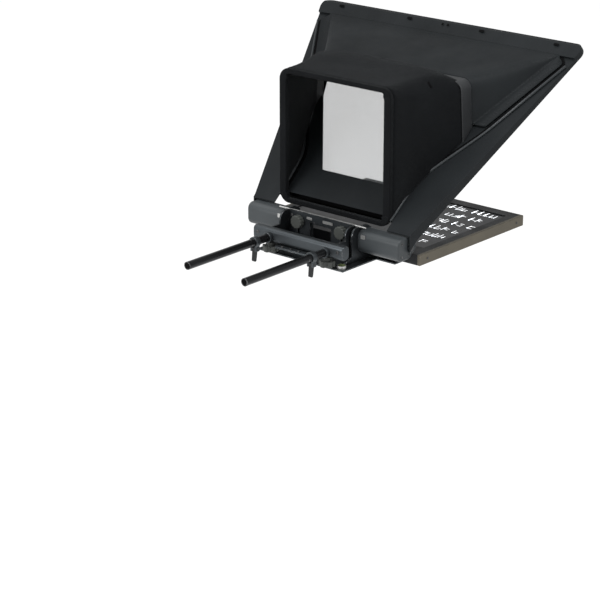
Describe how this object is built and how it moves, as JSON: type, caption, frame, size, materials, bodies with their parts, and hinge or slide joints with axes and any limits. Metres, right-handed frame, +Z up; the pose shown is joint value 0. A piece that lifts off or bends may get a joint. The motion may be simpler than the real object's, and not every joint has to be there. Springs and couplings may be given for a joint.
{
  "type": "teleprompter",
  "caption": "Rail-mounted camera teleprompter with a flat prompt screen, folding beam-splitter hood, cloth lens shroud, height slide and clamp levers.",
  "frame": {"origin": "midway between the two support rods, on the plane of their rear ends", "axes": "+Y along the rods from the camera towards the presenter, +X to the camera operator's right, +Z up"},
  "size_m": [0.7872, 0.8562, 0.4768],
  "materials": {
    "hood_plastic": "fine moulded texture, charcoal black",
    "collar_plastic": "satin moulded band",
    "fabric": "black tight-weave light-proof cloth",
    "rim_fabric": "bound cloth edge over a stiffener",
    "beam_glass": "half-silvered 3 mm glass",
    "black_alloy": "black anodised plate",
    "beam_alloy": "dark blue-grey anodised bar",
    "housing_plastic": "mid-grey moulded housing",
    "rod_steel": "satin black rod",
    "knob_plastic": "grey-olive moulded grip",
    "lever_plastic": "glossy black lever",
    "bronze_alloy": "bronze anodised, brushed",
    "bezel_plastic": "black bezel",
    "screen": "dark anti-glare screen",
    "bare_alloy": "bright machined",
    "screw_steel": "steel",
    "bronze_bush": "sintered bronze",
    "circuit_board": "solder mask",
    "level_green": "yellow-green vial",
    "rubber_black": "black rubber"
  },
  "bodies": {
    "rods": {"left_rod": "rod_steel", "right_rod": "rod_steel", "rod_end_plugs": "rubber_black", "left_rod_clamp": "beam_alloy", "right_rod_clamp": "beam_alloy", "lever_pins": "screw_steel"},
    "carriage": {"rod_bridge": "beam_alloy", "cross_beam": "beam_alloy", "rod_collars": "beam_alloy", "left_slide_arm": "black_alloy", "right_slide_arm": "black_alloy", "slide_plate": "black_alloy", "bridge_screws": "screw_steel"},
    "left_clamp_lever": {"left_clamp_lever": "lever_plastic"},
    "right_clamp_lever": {"right_clamp_lever": "lever_plastic"},
    "left_hand_knob": {"left_hand_knob": "knob_plastic"},
    "right_hand_knob": {"right_hand_knob": "knob_plastic"},
    "head": {"base_plate": "beam_alloy", "lift_plate": "black_alloy", "lift_strip": "bare_alloy", "left_cheek": "black_alloy", "right_cheek": "black_alloy", "left_hinge_housing": "housing_plastic", "right_hinge_housing": "housing_plastic", "hinge_bushes": "bronze_bush", "friction_discs": "screw_steel", "level_body": "bare_alloy", "level_vial": "level_green", "monitor_back_cover": "black_alloy", "left_side_rail": "bronze_alloy", "right_side_rail": "bronze_alloy", "monitor_near_rail": "bezel_plastic", "monitor_far_rail": "bezel_plastic", "monitor_bezel": "bezel_plastic", "lcd_panel": "screen", "scaler_board": "circuit_board", "power_board": "circuit_board", "board_spacers": "screw_steel", "rail_screws": "screw_steel", "vesa_screws": "screw_steel", "monitor_standoffs": "rubber_black"},
    "left_lock": {"left_lock_knob": "knob_plastic", "left_lock_stud": "screw_steel"},
    "right_lock": {"right_lock_knob": "knob_plastic", "right_lock_stud": "screw_steel"},
    "power_button": {"power_button": "lever_plastic"},
    "hood": {"hood_shell": "hood_plastic", "beam_splitter_glass": "beam_glass", "left_glass_channel": "black_alloy", "right_glass_channel": "black_alloy", "glass_ledge": "rubber_black", "back_cover": "hood_plastic", "collar": "collar_plastic", "fabric_shroud": "fabric", "shroud_rim": "rim_fabric", "left_hood_arm": "black_alloy", "right_hood_arm": "black_alloy", "left_hinge_shaft": "screw_steel", "right_hinge_shaft": "screw_steel", "lip_screws": "lever_plastic"}
  },
  "joints": [
    {"name": "carriage_slide", "type": "slide", "parent": "rods", "child": "carriage", "axis": [0, 1, 0], "range_m": [-0.025, 0]},
    {"name": "height_slide", "type": "slide", "parent": "carriage", "child": "head", "axis": [0, 0, 1], "range_m": [-0.04, 0]},
    {"name": "hood_fold", "type": "hinge", "parent": "head", "child": "hood", "pos_m": [0, 0.408, 0.008], "axis": [1, 0, 0], "range_deg": [-43, 0]},
    {"name": "left_lever_turn", "type": "hinge", "parent": "rods", "child": "left_clamp_lever", "pos_m": [-0.0865, 0.2285, -0.016], "axis": [1, 0, 0], "range_deg": [-70, 0]},
    {"name": "right_lever_turn", "type": "hinge", "parent": "rods", "child": "right_clamp_lever", "pos_m": [0.0865, 0.2285, -0.016], "axis": [1, 0, 0], "range_deg": [-70, 0]},
    {"name": "left_hand_knob_turn", "type": "hinge", "parent": "carriage", "child": "left_hand_knob", "pos_m": [-0.0865, 0.284, -0.028], "axis": [0, 0, 1], "continuous": true},
    {"name": "right_hand_knob_turn", "type": "hinge", "parent": "carriage", "child": "right_hand_knob", "pos_m": [0.0865, 0.284, -0.028], "axis": [0, 0, 1], "continuous": true},
    {"name": "left_lock_turn", "type": "hinge", "parent": "head", "child": "left_lock", "pos_m": [-0.066, 0.355, 0.023], "axis": [0, 1, 0], "continuous": true},
    {"name": "right_lock_turn", "type": "hinge", "parent": "head", "child": "right_lock", "pos_m": [0.066, 0.355, 0.023], "axis": [0, 1, 0], "continuous": true},
    {"name": "power_press", "type": "slide", "parent": "head", "child": "power_button", "axis": [1, 0, 0], "range_m": [0, 0.0015], "stiffness_N_per_m": 300}
  ]
}
